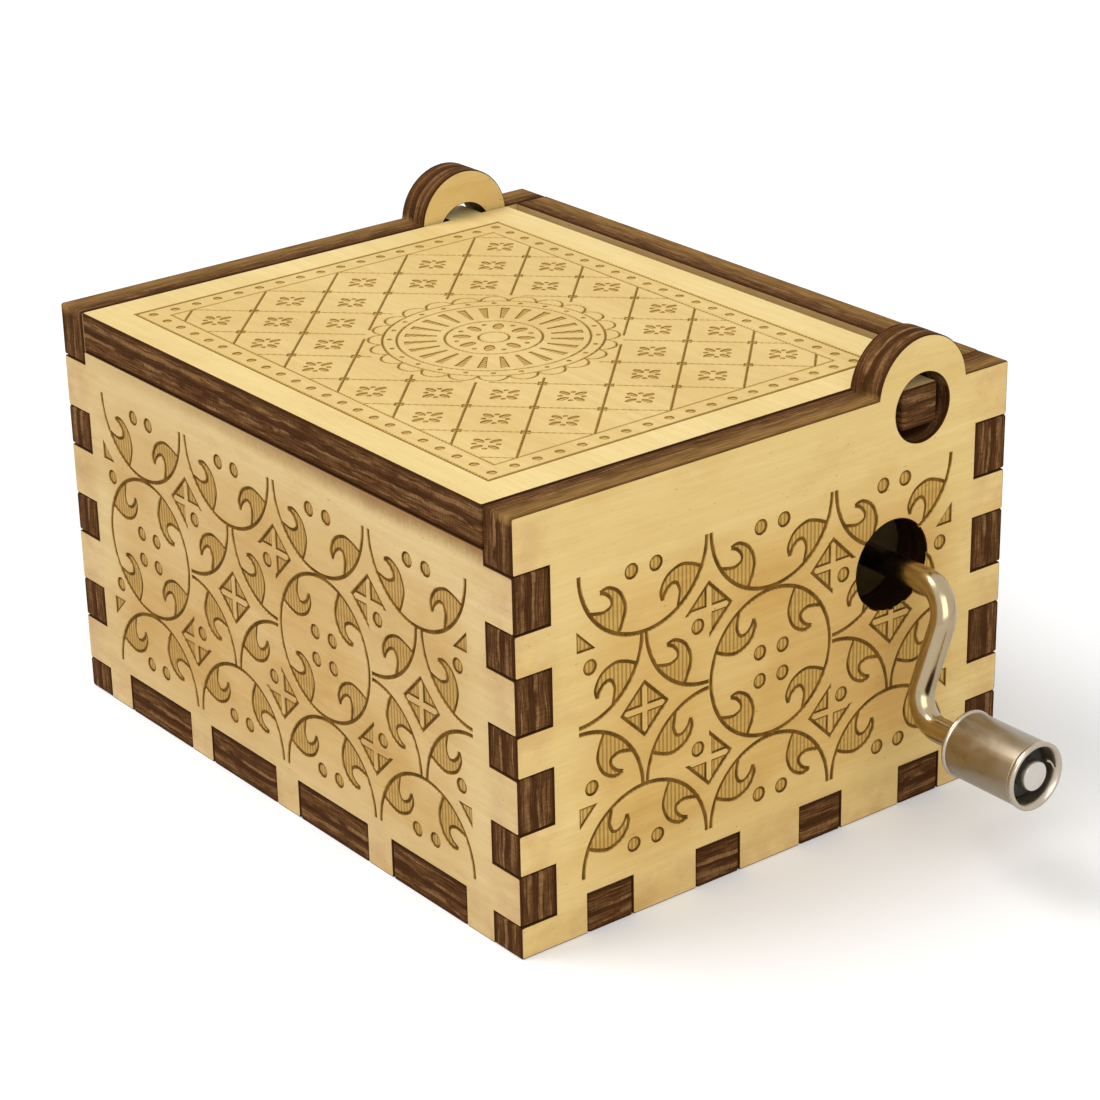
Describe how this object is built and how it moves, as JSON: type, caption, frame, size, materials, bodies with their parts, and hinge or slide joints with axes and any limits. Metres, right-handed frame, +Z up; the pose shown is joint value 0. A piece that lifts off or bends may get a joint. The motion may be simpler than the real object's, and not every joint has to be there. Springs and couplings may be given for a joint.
{
  "type": "hand-cranked music box",
  "caption": "Hand-cranked music box: finger-jointed plywood case with a pivoting lid, an S-bent crank with a turning knob, and a worm-driven cylinder and comb movement inside.",
  "frame": {"origin": "middle of the case's bottom, on the surface it stands on", "axes": "+X towards the crank, -Y towards the front edge where the lid opens, +Z up"},
  "size_m": [0.0831, 0.0508, 0.041],
  "materials": {
    "base_ply": "raw birch plywood, laser-burnt edges",
    "front_ply": "raw birch plywood, laser-burnt edges, engraved",
    "back_ply": "raw birch plywood, laser-burnt edges, engraved",
    "left_ply": "raw birch plywood, laser-burnt edges, engraved",
    "right_ply": "raw birch plywood, laser-burnt edges, engraved",
    "lid_ply": "raw birch plywood, laser-burnt edges, engraved",
    "crank_nickel": "nickel plate, bright",
    "knob_nickel": "nickel plate, satin",
    "bush_plastic": "black",
    "worm_brass": "machined",
    "wheel_nylon": "natural nylon",
    "barrel_steel": "plated",
    "pin_steel": "ground",
    "cap_brass": "machined",
    "arbor_steel": "ground",
    "clip_steel": "oiled spring steel",
    "comb_steel": "ground and tempered",
    "bed_zinc": "die-cast zinc alloy, as cast",
    "bracket_steel": "plated sheet",
    "screw_steel": "plated"
  },
  "bodies": {
    "case": {"base_plate": "base_ply", "front_wall": "front_ply", "back_wall": "back_ply", "side_wall_left": "left_ply", "side_wall_right": "right_ply", "bedplate": "bed_zinc", "worm_bracket": "bracket_steel", "comb": "comb_steel", "comb_screws": "screw_steel", "base_screws": "screw_steel"},
    "lid": {"lid": "lid_ply"},
    "crank": {"crank_rod": "crank_nickel", "worm": "worm_brass"},
    "knob": {"knob_sleeve": "knob_nickel", "knob_bush": "bush_plastic"},
    "cylinder": {"cylinder_barrel": "barrel_steel", "cylinder_pins": "pin_steel", "cylinder_cap": "cap_brass", "cylinder_arbor": "arbor_steel", "arbor_clip": "clip_steel", "worm_wheel": "wheel_nylon"}
  },
  "joints": [
    {"name": "lid_hinge", "type": "hinge", "parent": "case", "child": "lid", "pos_m": [0, 0.01585, 0.035], "axis": [-1, 0, 0], "range_deg": [0, 148]},
    {"name": "crank_spin", "type": "hinge", "parent": "case", "child": "crank", "pos_m": [0.0389, 0.0129, 0.0222], "axis": [1, 0, 0], "continuous": true},
    {"name": "cylinder_spin", "type": "hinge", "parent": "case", "child": "cylinder", "pos_m": [0.008, 0, 0.0128], "axis": [0, 1, 0], "continuous": true},
    {"name": "knob_spin", "type": "hinge", "parent": "crank", "child": "knob", "pos_m": [0.04725, 0.01037, 0.01139], "axis": [1, 0, 0], "continuous": true}
  ],
  "couplings": [
    {"joint": "cylinder_spin", "follows": "crank_spin", "ratio": -0.0625}
  ]
}
